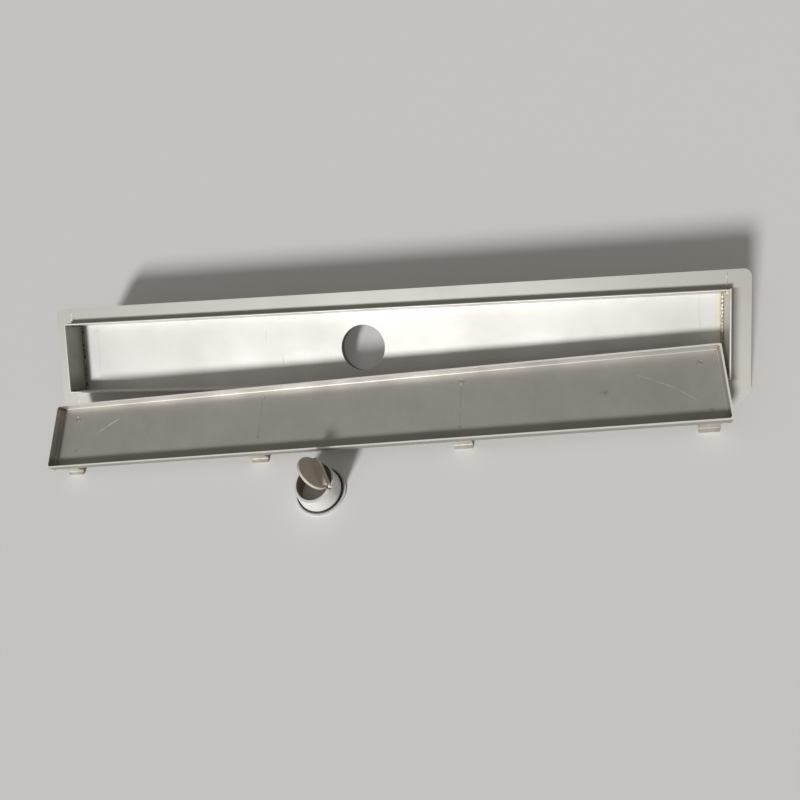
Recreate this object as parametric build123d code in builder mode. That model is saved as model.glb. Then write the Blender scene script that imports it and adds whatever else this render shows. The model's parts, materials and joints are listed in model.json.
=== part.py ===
"""Linear shower drain: folded channel, tile cover on brackets and flap trap, laid out on a table."""

import os
from math import acos, atan2, cos, hypot, radians, sin, sqrt, tan

from build123d import *

os.makedirs("parts", exist_ok=True)

# Channel: one folded sheet with a hemmed upstand, closed by a folded cap at each end
sheet = 1.0
fold_radius = 0.8
hem_gap = 0.1
hem_flat = 0.02
rim_length = 699.0
rim_width = 79.8
upstand = 11.6
trough_depth = 27.5
side_flange = 17.6
end_flange = 18.0
flange_corner = 7.0
end_weld = 2.0
end_weld_drop = 5.0
end_weld_slope = 40.0

# Outlet: a short tube under the middle of the trough
outlet_bore = 24.0
outlet_wall = 1.0
outlet_length = 9.2
outlet_weld = 1.2

# Cover: a shallow tray for the tile, which drops into the trough
cover_sheet = 1.5
cover_fold = 1.0
cover_height = 11.7
cover_proud = 2.5
cover_end_clearance = 5.2

# Brackets: hat-shaped strips that stand the cover on the trough's floor
bracket_sheet = 1.5
bracket_fold = 1.0
bracket_width = 18.0
bracket_inset = 2.0
bracket_end = 15.2
inner_spacing = 212.6
feet_clearance = 0.3
foot_reach = 2.2
foot_corner = 1.2

# Trap: a moulded tube with a flange, a seal ring and a hinged flap over its mouth
trap_flange_reach = 2.0
trap_flange = 2.0
seal_section = 1.2
seal_squeeze = 0.2
seal_clearance = 0.05
collar_clearance = 1.6
throat_radius = 19.2
mouth_radius = 16.9
mouth_wall = 2.4
mouth_chord = 9.4
housing_radius = 20.6
housing_shift = 1.5
housing_wall = 1.4
housing_rise = 0.75
shelf_thickness = 3.4
pocket_depth = 9.0
pocket_clearance = 0.4
pin_radius = 1.7
pin_offset = 14.4
pin_height = 27.4
pin_seat_clearance = 0.02
pin_end_round = 0.4
pin_recess = 0.9
seat_tilt = 7.0
seat_gap = 0.15

# Flap: a disc with a weight bar and two open knuckles on the pin
flap_thickness = 2.6
flap_lap = 1.0
flap_open = 60.0
knuckle_wall = 1.0
knuckle_lip = 0.4
knuckle_clearance = 0.05
knuckle_length = 5.0
knuckle_spacing = 10.0
weight_foot = 4.4
weight_base = 9.0
weight_rise = 4.5
weight_peak = 5.0
weight_length = 30.0

# Lay-out on the table
cover_yaw = 4.43
cover_end_gap = 5.1
leg_clearance = 0.4
trap_shift = -29.15
trap_ahead = 37.8
trap_turn = 30.9


def angle_between(cosine_part, sine_part, total, side):
    """Angle at which cosine_part times its cosine plus sine_part times its sine makes the total."""
    return atan2(sine_part, cosine_part) + side * acos(total / hypot(cosine_part, sine_part))


# Channel levels, from the flange's top face
floor = upstand - trough_depth
flange_middle = -sheet / 2
hem_middle = upstand - sheet / 2
floor_middle = floor - sheet / 2
hem_step = sheet + hem_gap
hem_bend = (hem_step - hem_flat) / 2
fold_middle = fold_radius + sheet / 2
fold_outside = fold_radius + sheet

# Channel widths and lengths, from its middle
flange_width = rim_width + 2 * side_flange
flange_length = rim_length + 2 * end_flange
outer_layer = rim_width / 2 - sheet / 2
inner_layer = outer_layer - hem_step
trough_inside = inner_layer - sheet / 2
trough_outside = inner_layer + sheet / 2
cap_outer_layer = rim_length / 2 - sheet / 2
cap_inner_layer = cap_outer_layer - hem_step
seam = cap_inner_layer - sheet / 2

# Cover sizes: its feet fit the trough's width, and its length fits between the end caps
feet_span = 2 * (trough_inside - feet_clearance)
cover_width = feet_span - 2 * foot_reach
cover_length = 2 * (seam - cover_end_clearance)
bracket_height = trough_depth + cover_proud - cover_height
outer_station = cover_length / 2 - bracket_end
inner_station = inner_spacing / 2

# The channel is tipped forward on its spigot's lower edge and the trough's front fold
spigot_radius = outlet_bore + outlet_wall
spigot_edge = floor - outlet_length
fold_y = fold_outside - trough_outside
fold_z = floor - sheet + fold_outside
tip = angle_between(fold_z - spigot_edge, fold_y + spigot_radius, fold_outside, 1)
channel_rise = spigot_radius * sin(tip) - spigot_edge * cos(tip)

# The cover stands on its front feet. Its last rear foot rests on the trough's floor, and the
# rear leg of the bracket before that one stands just behind the trough's front wall.
yaw = radians(cover_yaw)
foot_x = outer_station + bracket_width / 2
leg_x = inner_station - bracket_width / 2
leg_y = feet_span - foot_reach - bracket_inset + bracket_fold
leg_bend = bracket_fold + bracket_sheet
level_part = cos(tip) * cos(yaw) * (leg_y - feet_span) + sin(tip) * leg_bend
rise_part = feet_span * cos(tip) / tan(tip) - cos(tip) * cos(yaw) * leg_bend + sin(tip) * leg_y
channel_part = channel_rise * sin(tip) + (floor + channel_rise * cos(tip)) / tan(tip)
leg_part = leg_clearance + leg_bend - trough_inside + cos(tip) * sin(yaw) * (foot_x - leg_x)
cover_tilt = angle_between(level_part, rise_part, channel_part + leg_part, -1)
foot_part = feet_span * (sin(cover_tilt) / tan(tip) - cos(yaw) * cos(cover_tilt)) - foot_x * sin(yaw)
cover_ahead = foot_part - channel_rise / tan(tip) - floor / sin(tip)
cover_end = (cover_length / 2) * cos(yaw) - (feet_span - foot_reach) * sin(yaw)
cover_shift = seam - end_weld - cover_end_gap - cover_end

# The set is centred over the origin, with the table at height zero
trap_flange_radius = outlet_bore + trap_flange_reach
trap_y = cover_ahead - trap_ahead
rear_edge = flange_width / 2 * cos(tip) + sheet * sin(tip)
channel_y = -(rear_edge + trap_y - trap_flange_radius) / 2

channel = Plane((0, channel_y, channel_rise), x_dir=(1, 0, 0), z_dir=(0, -sin(tip), cos(tip)))
channel_across = Plane(channel.origin, x_dir=channel.y_dir, z_dir=channel.x_dir)
channel_along = Plane(channel.origin, x_dir=channel.x_dir, z_dir=-channel.y_dir)

cover = Plane(
    (cover_shift, channel_y + cover_ahead, 0),
    x_dir=(cos(yaw), sin(yaw), 0),
    z_dir=(sin(cover_tilt) * sin(yaw), -sin(cover_tilt) * cos(yaw), cos(cover_tilt)),
)
cover_across = Plane(cover.origin, x_dir=cover.y_dir, z_dir=cover.x_dir)
cover_middle = cover.from_local_coords((0, feet_span / 2, 0))
cover_along = Plane(cover_middle, x_dir=cover.x_dir, z_dir=-cover.y_dir)

turn = radians(trap_turn)
trap = Plane((trap_shift, channel_y + trap_y, 0), x_dir=(cos(turn), sin(turn), 0), z_dir=(0, 0, 1))
trap_side = Plane(trap.origin, x_dir=trap.x_dir, z_dir=-trap.y_dir)
trap_axis = Axis(trap.origin, trap.z_dir)

opened = radians(flap_open)
flap_plane = Plane(
    trap.from_local_coords((pin_offset, 0, pin_height)),
    x_dir=trap.z_dir * sin(opened) - trap.x_dir * cos(opened),
    z_dir=trap.z_dir * cos(opened) + trap.x_dir * sin(opened),
)
flap_side = Plane(flap_plane.origin, x_dir=flap_plane.x_dir, z_dir=-flap_plane.y_dir)

# Trough: bottom, walls, hemmed upstands and long flanges, folded from one sheet
with BuildPart() as trough:
    with BuildSketch(channel_across):
        with BuildLine():
            FilletPolyline(
                (-flange_width / 2, flange_middle),
                (-outer_layer, flange_middle),
                (-outer_layer, hem_middle),
                (-inner_layer, hem_middle),
                (-inner_layer, floor_middle),
                (inner_layer, floor_middle),
                (inner_layer, hem_middle),
                (outer_layer, hem_middle),
                (outer_layer, flange_middle),
                (flange_width / 2, flange_middle),
                radius=2 * [fold_middle, hem_bend, hem_bend, fold_middle],
            )
        trace(line_width=sheet)
    extrude(amount=seam, both=True)
    with BuildSketch(channel.offset(floor)):
        Circle(outlet_bore)
    extrude(amount=-sheet, mode=Mode.SUBTRACT)
trough.part.label = "trough"
export_step(trough.part, "parts/trough.step")

# End cap: end wall, hemmed upstand and end flange with rounded corners
flange_root = rim_length / 2 + fold_outside
with BuildPart() as end_cap_left:
    with BuildSketch(channel_along):
        with BuildLine():
            FilletPolyline(
                (-flange_length / 2, flange_middle),
                (-cap_outer_layer, flange_middle),
                (-cap_outer_layer, hem_middle),
                (-cap_inner_layer, hem_middle),
                (-cap_inner_layer, floor - sheet),
                radius=[fold_middle, hem_bend, hem_bend],
            )
        trace(line_width=sheet)
    extrude(amount=rim_width / 2, both=True)
    # Under the flange the end wall has the trough's own outline
    with BuildSketch(channel_across.offset(-rim_length / 2)):
        with Locations((0, floor / 2 - sheet)):
            Rectangle(rim_width, -floor)
        with Locations((0, floor - sheet)):
            RectangleRounded(
                2 * trough_outside, -2 * floor, fold_outside, align=(Align.CENTER, Align.MIN), mode=Mode.SUBTRACT
            )
    extrude(amount=rim_length / 2 - seam, mode=Mode.SUBTRACT)
    # The flange runs round both corners to the seams with the long flanges
    with BuildSketch(channel):
        with Locations((-(flange_length / 2 + seam) / 2, 0)):
            Rectangle(flange_length / 2 - seam, flange_width)
        fillet(vertices().group_by(Axis.X)[0], flange_corner)
        with Locations((-(flange_root + seam) / 2, 0)):
            Rectangle(flange_root - seam, rim_width, mode=Mode.SUBTRACT)
    extrude(amount=-sheet)
end_cap_left.part.label = "end_cap_left"
export_step(end_cap_left.part, "parts/end_cap_left.step")

with BuildPart() as end_cap_right:
    mirror(end_cap_left.part, about=channel_across)
end_cap_right.part.label = "end_cap_right"
export_step(end_cap_right.part, "parts/end_cap_right.step")

# Inside weld: a bead along the end wall's two sides and bottom
weld_top = upstand - end_weld_drop
weld_height = weld_top - floor
with BuildPart() as end_weld_left:
    with BuildSketch(channel_across.offset(-seam)):
        with Locations((0, (weld_top + floor) / 2)):
            Rectangle(2 * trough_inside, weld_height)
        fillet(vertices().group_by(Axis.Y)[0], fold_radius)
    extrude(amount=end_weld)
    with BuildSketch(channel_across.offset(-seam)):
        with Locations((0, (weld_top + floor) / 2 + end_weld)):
            Rectangle(2 * (trough_inside - end_weld), weld_height)
    extrude(amount=end_weld, taper=-end_weld_slope, mode=Mode.SUBTRACT)
end_weld_left.part.label = "end_weld_left"
export_step(end_weld_left.part, "parts/end_weld_left.step")

with BuildPart() as end_weld_right:
    mirror(end_weld_left.part, about=channel_across)
end_weld_right.part.label = "end_weld_right"
export_step(end_weld_right.part, "parts/end_weld_right.step")

# Outlet spigot: a short tube butted under the trough's bottom, with a weld bead round its root
with BuildPart() as outlet_spigot:
    with BuildSketch(channel_along):
        with BuildLine():
            Polyline(
                (outlet_bore, floor - sheet),
                (spigot_radius + outlet_weld, floor - sheet),
                (spigot_radius, floor - sheet - outlet_weld),
                (spigot_radius, spigot_edge),
                (outlet_bore, spigot_edge),
                close=True,
            )
        make_face()
    revolve(axis=Axis(channel.origin, channel.z_dir))
outlet_spigot.part.label = "outlet_spigot"
export_step(outlet_spigot.part, "parts/outlet_spigot.step")

# Cover tray: a floor with four folded walls, open at the corners for the welds
cover_corner = cover_sheet + cover_fold
cover_top = bracket_height + cover_height
cover_floor_middle = bracket_height + cover_sheet / 2
long_wall = foot_reach + cover_sheet / 2
end_wall = cover_length / 2 - cover_sheet / 2
cover_bend = cover_fold + cover_sheet / 2
with BuildPart() as cover_tray:
    with BuildSketch(cover_across):
        with BuildLine():
            FilletPolyline(
                (long_wall, cover_top),
                (long_wall, cover_floor_middle),
                (feet_span - long_wall, cover_floor_middle),
                (feet_span - long_wall, cover_top),
                radius=cover_bend,
            )
        trace(line_width=cover_sheet)
    extrude(amount=cover_length / 2 - cover_corner, both=True)
    with BuildSketch(cover_along):
        with BuildLine():
            FilletPolyline(
                (-end_wall, cover_top),
                (-end_wall, cover_floor_middle),
                (end_wall, cover_floor_middle),
                (end_wall, cover_top),
                radius=cover_bend,
            )
        trace(line_width=cover_sheet)
    extrude(amount=cover_width / 2 - cover_corner, both=True)
cover_tray.part.label = "cover_tray"
export_step(cover_tray.part, "parts/cover_tray.step")

# Corner welds: they close the tray's four corners and round them off
with BuildPart() as cover_corner_welds:
    with BuildSketch(cover.offset(bracket_height)):
        with Locations((0, feet_span / 2)):
            RectangleRounded(cover_length, cover_width, cover_sheet)
            Rectangle(cover_length, cover_width - 2 * cover_corner, mode=Mode.SUBTRACT)
            Rectangle(cover_length - 2 * cover_corner, cover_width, mode=Mode.SUBTRACT)
    extrude(amount=cover_height)
cover_corner_welds.part.label = "cover_corner_welds"
export_step(cover_corner_welds.part, "parts/cover_corner_welds.step")

# Brackets: a web under the tray, two legs and two feet turned outwards with rounded tips
bracket_stations = {
    "cover_bracket_outer_left": -outer_station,
    "cover_bracket_inner_left": -inner_station,
    "cover_bracket_inner_right": inner_station,
    "cover_bracket_outer_right": outer_station,
}
leg_middle = foot_reach + bracket_inset + bracket_sheet / 2
foot_middle = bracket_sheet / 2
web_middle = bracket_height - bracket_sheet / 2
for bracket_name, station in bracket_stations.items():
    with BuildPart() as bracket:
        with BuildSketch(cover_across.offset(station - bracket_width / 2)):
            with BuildLine():
                FilletPolyline(
                    (0, foot_middle),
                    (leg_middle, foot_middle),
                    (leg_middle, web_middle),
                    (feet_span - leg_middle, web_middle),
                    (feet_span - leg_middle, foot_middle),
                    (feet_span, foot_middle),
                    radius=bracket_fold + bracket_sheet / 2,
                )
            trace(line_width=bracket_sheet)
        extrude(amount=bracket_width)
        with BuildSketch(cover):
            with Locations((station, feet_span / 2)):
                RectangleRounded(bracket_width, feet_span, foot_corner)
        extrude(amount=bracket_height, mode=Mode.INTERSECT)
    bracket.part.label = bracket_name
    export_step(bracket.part, f"parts/{bracket_name}.step")

# Trap body: flange, seal groove, tapered tube, inclined mouth and hinge pocket
seal_ring = outlet_bore + seal_squeeze - seal_section
seal_middle = trap_flange + seal_section + seal_clearance
groove_radius = seal_ring - seal_section - seal_clearance
groove_top = trap_flange + 2 * (seal_section + seal_clearance)
collar_radius = outlet_bore - collar_clearance
housing_top = pin_height + housing_rise
knuckle_bore = pin_radius + knuckle_clearance
knuckle_radius = knuckle_bore + knuckle_wall
pocket_edge = pin_offset - knuckle_radius - pocket_clearance
pocket_floor = pin_height - pocket_depth
slot_radius = pin_radius + pin_seat_clearance
slope = radians(seat_tilt)
seat_drop = (flap_thickness / 2 + seat_gap) / cos(slope)


def seat_height(reach):
    """Height of the inclined mouth at a distance from the trap's axis towards the hinge."""
    return pin_height - (pin_offset - reach) * tan(slope) - seat_drop


with BuildPart() as trap_body:
    with BuildSketch(trap_side):
        with BuildLine():
            Polyline(
                (0, 0),
                (trap_flange_radius, 0),
                (trap_flange_radius, trap_flange),
                (groove_radius, trap_flange),
                (groove_radius, groove_top),
                (collar_radius, groove_top),
                (mouth_radius + mouth_wall, housing_top),
                (0, housing_top),
                close=True,
            )
        make_face()
    revolve(axis=trap_axis)
    # Hinge housing: an upright wall, set off towards the hinge
    with BuildSketch(trap.offset(groove_top)):
        with Locations((housing_shift, 0)):
            Circle(housing_radius)
    extrude(amount=housing_top - groove_top)
    # Tapered throat
    with BuildSketch(trap_side):
        with BuildLine():
            Polyline((0, 0), (throat_radius, 0), (mouth_radius, housing_top), (0, housing_top), close=True)
        make_face()
    revolve(axis=trap_axis, mode=Mode.SUBTRACT)
    # Shelf that squares off the mouth beside the hinge
    with BuildSketch(trap.offset(housing_top)):
        Circle(mouth_radius + mouth_wall / 2)
        with Locations((mouth_chord, 0)):
            Rectangle(mouth_radius, 2 * housing_radius, align=(Align.MIN, Align.CENTER), mode=Mode.INTERSECT)
    extrude(amount=pocket_floor - shelf_thickness - housing_top)
    # Pocket for the knuckles
    with BuildSketch(trap.offset(housing_top)):
        with Locations((housing_shift, 0)):
            Circle(housing_radius - housing_wall)
        with Locations((pocket_edge, 0)):
            Rectangle(housing_radius, 2 * housing_radius, align=(Align.MIN, Align.CENTER), mode=Mode.INTERSECT)
    extrude(amount=pocket_floor - housing_top, mode=Mode.SUBTRACT)
    # Inclined seat of the flap
    with BuildSketch(trap_side):
        with BuildLine():
            Polyline(
                (-trap_flange_radius, seat_height(-trap_flange_radius)),
                (pocket_edge, seat_height(pocket_edge)),
                (pocket_edge, housing_top),
                (-trap_flange_radius, housing_top),
                close=True,
            )
        make_face()
    extrude(amount=trap_flange_radius, both=True, mode=Mode.SUBTRACT)
    # Open slots that the pin drops into
    with BuildSketch(trap_side):
        with Locations((pin_offset, pin_height)):
            Circle(slot_radius)
            Rectangle(2 * slot_radius, 2 * housing_rise, align=(Align.CENTER, Align.MIN))
    extrude(amount=housing_radius, both=True, mode=Mode.SUBTRACT)
trap_body.part.label = "trap_body"
export_step(trap_body.part, "parts/trap_body.step")

# Seal ring in the groove
with BuildPart() as trap_seal:
    with BuildSketch(trap_side):
        with Locations((seal_ring, seal_middle)):
            Circle(seal_section)
    revolve(axis=trap_axis)
trap_seal.part.label = "trap_seal"
export_step(trap_seal.part, "parts/trap_seal.step")

# Hinge pin across the housing
pin_reach = sqrt(housing_radius**2 - (pin_offset - housing_shift) ** 2) - pin_recess
with BuildPart() as hinge_pin:
    with BuildSketch(flap_side):
        Circle(pin_radius)
    extrude(amount=pin_reach, both=True)
    fillet(edges().filter_by(GeomType.CIRCLE), pin_end_round)
hinge_pin.part.label = "hinge_pin"
export_step(hinge_pin.part, "parts/hinge_pin.step")

# Flap: disc cut straight beside the pin, weight bar on its outer face, open knuckles round the pin
flap_radius = mouth_radius + flap_lap
flap_centre = pin_offset / cos(slope)
with BuildPart() as flap:
    with BuildSketch(flap_plane.offset(-flap_thickness / 2)):
        with Locations((flap_centre, 0)):
            Circle(flap_radius)
        with Locations((knuckle_radius, 0)):
            Rectangle(
                flap_centre + flap_radius, 2 * flap_radius, align=(Align.MIN, Align.CENTER), mode=Mode.INTERSECT
            )
    extrude(amount=flap_thickness)
    with BuildSketch(flap_side):
        with BuildLine():
            Polyline(
                (weight_foot, flap_thickness / 2),
                (weight_foot + weight_base, flap_thickness / 2),
                (weight_foot + weight_peak, flap_thickness / 2 + weight_rise),
                close=True,
            )
        make_face()
    extrude(amount=weight_length / 2, both=True)
    for knuckle_side in (-1, 1):
        with BuildSketch(flap_side.offset(knuckle_side * knuckle_spacing / 2)):
            Circle(knuckle_radius)
            Rectangle(knuckle_radius + knuckle_wall, flap_thickness, align=(Align.MIN, Align.CENTER))
            Circle(knuckle_bore, mode=Mode.SUBTRACT)
            with Locations((0, knuckle_lip)):
                Rectangle(2 * knuckle_radius, knuckle_radius, align=(Align.CENTER, Align.MIN), mode=Mode.SUBTRACT)
        extrude(amount=knuckle_length / 2, both=True)
flap.part.label = "flap"
export_step(flap.part, "parts/flap.step")
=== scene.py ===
"""Looks of a linear shower drain laid out in its parts: folded channel, tile tray and flap trap."""

import json
import math

import bpy
import numpy as np
from bpy.props import FloatProperty, FloatVectorProperty, IntProperty, PointerProperty
from mathutils import Matrix, Vector


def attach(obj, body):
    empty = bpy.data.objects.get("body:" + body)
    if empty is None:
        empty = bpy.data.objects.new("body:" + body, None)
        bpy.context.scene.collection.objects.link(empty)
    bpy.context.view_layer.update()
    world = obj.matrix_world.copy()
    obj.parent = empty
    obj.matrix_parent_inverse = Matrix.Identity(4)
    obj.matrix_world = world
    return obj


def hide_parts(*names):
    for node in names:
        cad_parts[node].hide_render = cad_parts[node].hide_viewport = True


bl_info = {
    "name": "Linear shower drain",
    "version": (1, 0, 0),
    "blender": (4, 5, 0),
    "location": "View3D > Sidebar > Drain",
    "description": "Finishes, weld beads and marks of a folded steel shower drain with its tile tray and flap trap",
    "category": "Object",
}

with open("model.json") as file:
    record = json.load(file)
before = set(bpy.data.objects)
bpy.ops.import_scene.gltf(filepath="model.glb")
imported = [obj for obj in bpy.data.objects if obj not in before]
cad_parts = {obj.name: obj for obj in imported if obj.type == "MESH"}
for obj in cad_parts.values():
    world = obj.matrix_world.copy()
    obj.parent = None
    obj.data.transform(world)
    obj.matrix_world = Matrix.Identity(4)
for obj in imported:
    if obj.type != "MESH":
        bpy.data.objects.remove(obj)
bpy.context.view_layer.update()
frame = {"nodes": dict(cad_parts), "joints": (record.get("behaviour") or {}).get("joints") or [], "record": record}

MM = 0.001

CHANNEL_NODES = ("trough", "end_cap_left", "end_cap_right")
BRACKET_NODES = (
    "cover_bracket_outer_left",
    "cover_bracket_inner_left",
    "cover_bracket_inner_right",
    "cover_bracket_outer_right",
)

# Places on the tray's floor, in mm along it from its middle and across it from its front face
SPOT_REAR = ((-319.6, 56.1), (-98.7, 61.5), (108.8, 59.5), (324.5, 57.2))
SPOT_FRONT = ((-317.1, 20.0), (-101.5, 19.6), (105.9, 14.3), (327.6, 12.7))
DEEP_SCRATCH = ((-293.3, 38.2), (-265.7, 53.8))
LONG_SCRATCH = ((269.2, 51.1), (283.1, 44.9), (302.9, 34.4), (320.8, 19.7))
SCUFFS = ((239.7, 36.4), (71.5, 45.9))

# Ends of faint lines on the trough's floor, in mm along it and across it from its middle
TROUGH_LINES = (
    ((-110.4, 22.9), (-111.2, 11.0)),
    ((-91.9, -3.9), (-91.5, -17.0)),
    ((-333.5, 31.0), (-321.5, 30.5)),
)

# Colours that heat leaves on steel, by their share of the tint's reach
HEAT_STOPS = (
    (0.0, (0.10, 0.085, 0.075)),
    (0.28, (0.27, 0.20, 0.13)),
    (0.6, (0.55, 0.45, 0.29)),
    (1.0, (0.66, 0.62, 0.54)),
)

# Weld metals: bright colour, tinted colour and bareness of soot
WELD_METALS = {
    "sooty_weld_bead": ((0.56, 0.54, 0.50), (0.20, 0.165, 0.13), 0.46),
    "bright_weld_bead": ((0.80, 0.79, 0.76), (0.50, 0.47, 0.42), 0.56),
    "ground_seam_weld": ((0.80, 0.79, 0.76), (0.54, 0.51, 0.46), 0.66),
    "spot_weld_mark": ((0.66, 0.64, 0.60), (0.34, 0.30, 0.25), 0.58),
}
SOOT = (0.045, 0.04, 0.036)

# Sockets of a Mix node that mixes colours, and of a Random Value node that gives numbers
MIX_MASK, MIX_FIRST, MIX_SECOND, MIX_COLOUR = 0, 6, 7, 2
RANDOM_LOW, RANDOM_HIGH, RANDOM_NUMBER = 2, 3, 1

NUMBER_SOCKETS = {float: "Float", int: "Int"}


# Settings


def a_colour(name, description, default):
    """Colour that a user can change."""
    return FloatVectorProperty(name=name, description=description, subtype="COLOR", default=default)


def a_length(name, description, default):
    """Length that a user can change, with its default in mm."""
    return FloatProperty(name=name, description=description, unit="LENGTH", default=default * MM)


def an_angle(name, description, default):
    """Angle that a user can change, with its default in degrees."""
    return FloatProperty(name=name, description=description, subtype="ANGLE", default=math.radians(default))


class ChannelSettings(bpy.types.PropertyGroup):
    """Sizes and colours of the channel's finish and welds."""

    steel: a_colour("Steel", "Colour of the satin sheet", (0.71, 0.70, 0.67))
    steel_dull: a_colour("Dull steel", "Colour of the sheet's duller clouds", (0.66, 0.645, 0.615))
    cleaned: a_colour("Cleaned band", "Colour beside the end welds", (0.68, 0.70, 0.715))
    cleaned_width: a_length("Cleaned width", "Width of the cleaned band", 20.0)
    band_edge: a_colour("Band edge", "Colour of the line along a cleaned band", (0.34, 0.33, 0.32))
    faint_line: a_colour("Faint line", "Colour of the faint lines on the trough's floor", (0.20, 0.19, 0.18))
    # Painted shade: darker band on the flange behind the rear upstand, where its shadow falls
    fold_shade: a_colour("Fold shade", "Colour of the dull band behind the rear upstand", (0.42, 0.40, 0.36))
    fold_shade_width: a_length("Flange mark", "Width of the dull band behind the rear upstand", 5.5)
    # Painted shade: soft darker band on the flange beside the right upstand
    end_shade: a_colour("End mark", "Colour of the soft dull band beside the right upstand", (0.17, 0.16, 0.145))
    end_shade_width: a_length("End mark width", "Width of the dull band beside the right upstand", 10.5)
    # Painted shade: the left end wall's face is painted dark, standing in for shade and a dark reflection
    end_wall_shade: a_colour("Shaded end wall", "Colour of the left end wall, painted as shade", (0.30, 0.285, 0.255))
    straw: a_colour("Straw tint", "Colour of the wide, weak tint at the right end weld", (0.66, 0.59, 0.45))
    straw_reach: a_length("Straw reach", "Width of the weak tint", 13.0)
    # Painted shade: the flange's top face is painted darker than the trough's floor of the same sheet
    flange: a_colour("Flange", "Colour of the flange's duller top face", (0.50, 0.485, 0.455))
    # Painted shade: the tube is painted dark, standing in for shade and a dark reflection inside it
    tube: a_colour("Tube", "Colour of the outlet's dull tube", (0.17, 0.165, 0.155))
    upstand: a_length("Upstand", "Rim's height over the flange", 11.6)
    sheet: a_length("Sheet", "Thickness of the sheet", 1.0)
    left_bead: a_length("Left bead", "Radius of the bead along the left end wall", 0.7)
    right_bead: a_length("Right bead", "Radius of the bead along the right end wall", 1.1)
    end_bead_drop: a_length("End bead drop", "Distance from the rim to the bead's ends", 5.0)
    ripple: a_length("Ripple", "Distance between a bead's ripples", 3.4)
    seam_bead: a_length("Seam bead", "Radius of the ground bead in a flange seam", 0.75)
    seam_rise: a_length("Seam rise", "Height of a seam bead over the flange", 0.25)
    seam_root: a_length("Seam root", "Distance from the trough's inside to a seam bead's start", 4.2)
    outlet_bead: a_length("Outlet bead", "Radius of the bead round the spigot", 0.95)
    seed: IntProperty(name="Seed", description="Start of the beads' unevenness", default=4)


class CoverSettings(bpy.types.PropertyGroup):
    """Sizes and colours of the tile tray's finish, welds and marks."""

    steel: a_colour("Steel", "Colour of the tray's sheet", (0.60, 0.58, 0.545))
    steel_dull: a_colour("Dull steel", "Colour of the tray's duller clouds", (0.50, 0.48, 0.45))
    # The cut edge colour is partly a painted highlight; it also brightens the scratches
    edge: a_colour("Cut edge", "Colour of the bright cut edges", (0.93, 0.915, 0.875))
    bracket: a_colour("Bracket", "Colour of the brackets' strip", (0.44, 0.41, 0.355))
    scribe: a_colour("Scribed line", "Colour of the lines that mark the brackets", (0.12, 0.11, 0.10))
    # Painted shade: darker band on the tray's floor along the front wall, where the wall's shadow falls
    fold_shade: a_colour("Fold shade", "Colour of the dull band along the front wall", (0.34, 0.32, 0.28))
    front_shade_width: a_length("Floor mark", "Width of the dull band along the front wall", 11.0)
    sheet: a_length("Sheet", "Thickness of the sheet", 1.5)
    height: a_length("Height", "Height of the tray's walls", 11.7)
    rear_spot: a_length("Rear spot", "Radius of the spot welds along the rear", 2.6)
    front_spot: a_length("Front spot", "Radius of the spot welds along the front", 1.1)
    spot_rise: a_length("Spot rise", "Height of a spot weld over the sheet", 0.16)
    corner_bead: a_length("Corner bead", "Radius of the bead in a corner", 0.7)
    corner_ripple: a_length("Corner ripple", "Distance between a corner bead's ripples", 2.2)
    seed: IntProperty(name="Seed", description="Start of the corner beads' unevenness", default=5)


class TrapSettings(bpy.types.PropertyGroup):
    """Colours of the trap's plastic, rubber and pin, of the painted shade in its throat and hinge pocket, and where
    that shade lies.
    """

    body: a_colour("Body", "Colour of the moulded body", (0.72, 0.715, 0.68))
    body_shade: a_colour("Body shade", "Colour of the body's mottle", (0.67, 0.665, 0.62))
    # Painted shade: the flap is painted darker and browner than the body's plastic, as shade and a warm reflection
    flap: a_colour("Flap", "Colour of the moulded flap", (0.58, 0.515, 0.425))
    flap_shade: a_colour("Flap shade", "Colour of the flap's mottle", (0.48, 0.415, 0.315))
    # Painted shade: dark colour in the throat and hinge pocket, where shade falls
    hollow_shade: a_colour("Hollow shade", "Colour of the deposit in throat and hinge pocket", (0.17, 0.15, 0.125))
    throat: a_length("Throat", "Radius of the throat at the table", 19.2)
    throat_taper: FloatProperty(name="Throat taper", description="How fast the throat narrows upwards", default=0.0817)
    pocket_edge: a_length("Pocket edge", "Distance from the trap's middle to the hinge pocket", 10.9)
    pocket_depth: a_length("Pocket depth", "Depth of the hinge pocket under the pin's middle", 9.0)
    rubber: a_colour("Rubber", "Colour of the seal ring", (0.014, 0.014, 0.015))
    dust: a_colour("Dust", "Colour of the dust on the seal ring", (0.09, 0.088, 0.083))
    # Painted light: the pin's colour is lifted near white to make up for the flap's shadow on it
    pin: a_colour("Pin", "Colour of the hinge pin", (0.93, 0.94, 0.945))
    pin_dull: a_colour("Dull pin", "Colour of the pin's duller clouds", (0.74, 0.745, 0.745))


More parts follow.
